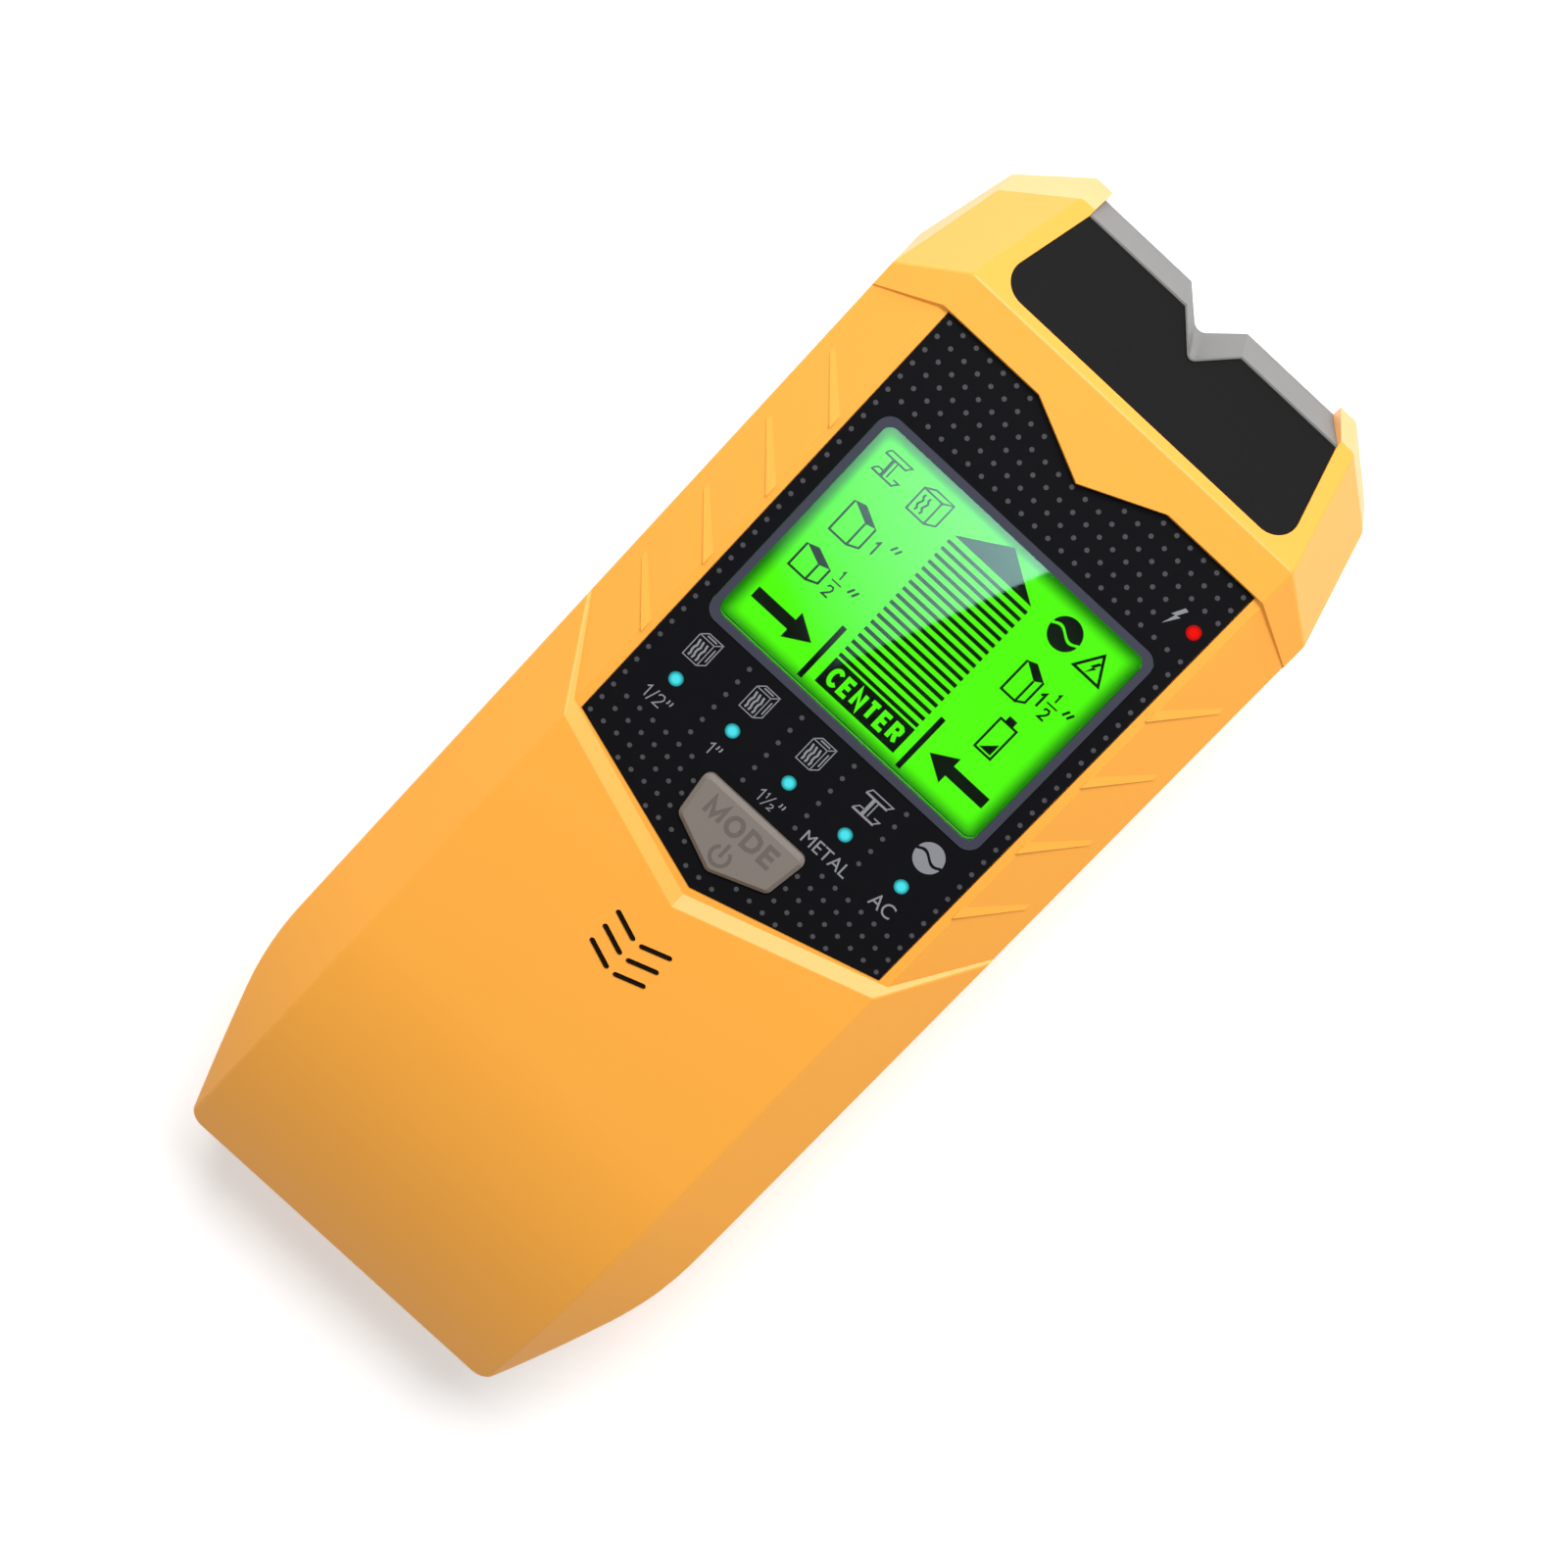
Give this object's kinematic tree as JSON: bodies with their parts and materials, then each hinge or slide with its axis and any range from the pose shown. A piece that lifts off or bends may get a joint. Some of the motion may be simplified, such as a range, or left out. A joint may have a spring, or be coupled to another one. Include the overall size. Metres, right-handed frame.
{
  "type": "stud finder",
  "caption": "Handheld electronic stud finder with a backlit display, a push button, warning lamps, a V-notched nose for marking a wall and a sliding battery door.",
  "frame": {"origin": "on the surface the stud finder lies on, below the middle of its bounding box", "axes": "+Z out of the display, +Y along the case towards the V-notched sensing head, +X to the right as the display is read"},
  "size_m": [0.0684, 0.1686, 0.0363],
  "materials": {
    "orange_shell": "fine spark-textured moulded plastic",
    "black_texture": "fine grained moulded plastic",
    "grey_nose": "satin moulded plastic",
    "black_face": "printed film with small dots",
    "slate_frame": "satin moulded frame",
    "clear_window": "clear acrylic",
    "display_glass": "lit liquid crystal glass",
    "green_light": "light guide",
    "white_moulding": "moulded",
    "contact_rubber": "striped elastomer",
    "button_plastic": "satin moulded key",
    "black_moulding": "moulded",
    "switch_metal": "plated",
    "cyan_lamp": "lit light pipe",
    "red_lamp": "lit light pipe",
    "lamp_chip": "moulded lamp",
    "circuit_board": "solder mask",
    "chip_ceramic": "ceramic chips",
    "mesh_cloth": "acoustic mesh",
    "copper": "etched copper",
    "copper_wire": "enamelled winding",
    "contact_metal": "plated",
    "black_back": "fine spark-textured moulded plastic",
    "battery_skin": "lacquered can",
    "cell_skin": "wrapped cell",
    "red_lead": "insulated lead",
    "black_lead": "insulated lead",
    "foam": "closed-cell foam",
    "screw_steel": "zinc plated",
    "pad_rubber": "smooth glide pad"
  },
  "bodies": {
    "housing": {"front_shell": "orange_shell", "head_cover": "black_texture", "nose_block": "grey_nose", "faceplate": "black_face", "lcd_bezel": "slate_frame", "lcd_lens": "clear_window", "lcd_cell": "display_glass", "lcd_backlight": "green_light", "lcd_holder": "white_moulding", "zebra_strips": "contact_rubber", "switch_body": "switch_metal", "half_inch_lamp": "cyan_lamp", "one_inch_lamp": "cyan_lamp", "deep_scan_lamp": "cyan_lamp", "metal_lamp": "cyan_lamp", "ac_lamp": "cyan_lamp", "live_wire_lamp": "red_lamp", "lamp_chips": "lamp_chip", "main_board": "circuit_board", "controller_chip": "black_moulding", "board_components": "chip_ceramic", "buzzer": "black_moulding", "buzzer_mesh": "mesh_cloth", "sensor_board": "circuit_board", "sensor_plates": "copper", "metal_coil": "copper_wire", "coil_former": "black_moulding", "pin_header": "black_moulding", "header_pins": "contact_metal", "back_shell": "black_back", "battery_can": "battery_skin", "battery_cells": "cell_skin", "battery_top": "black_moulding", "battery_terminals": "contact_metal", "snap_connector": "black_moulding", "battery_lead_red": "red_lead", "battery_lead_black": "black_lead", "battery_foam": "foam", "case_screws": "screw_steel", "board_screws": "screw_steel", "sensor_screws": "screw_steel", "glide_pads": "pad_rubber"},
    "mode_button": {"mode_button": "button_plastic", "switch_plunger": "black_moulding"},
    "battery_door": {"battery_door": "black_back"}
  },
  "joints": [
    {"name": "button_press", "type": "slide", "parent": "housing", "child": "mode_button", "axis": [0, 0, -1], "range_m": [0, 0.0005], "stiffness_N_per_m": 900, "springref_m": -0.001},
    {"name": "door_slide", "type": "slide", "parent": "housing", "child": "battery_door", "axis": [0, -1, 0], "range_m": [0, 0.062]}
  ]
}
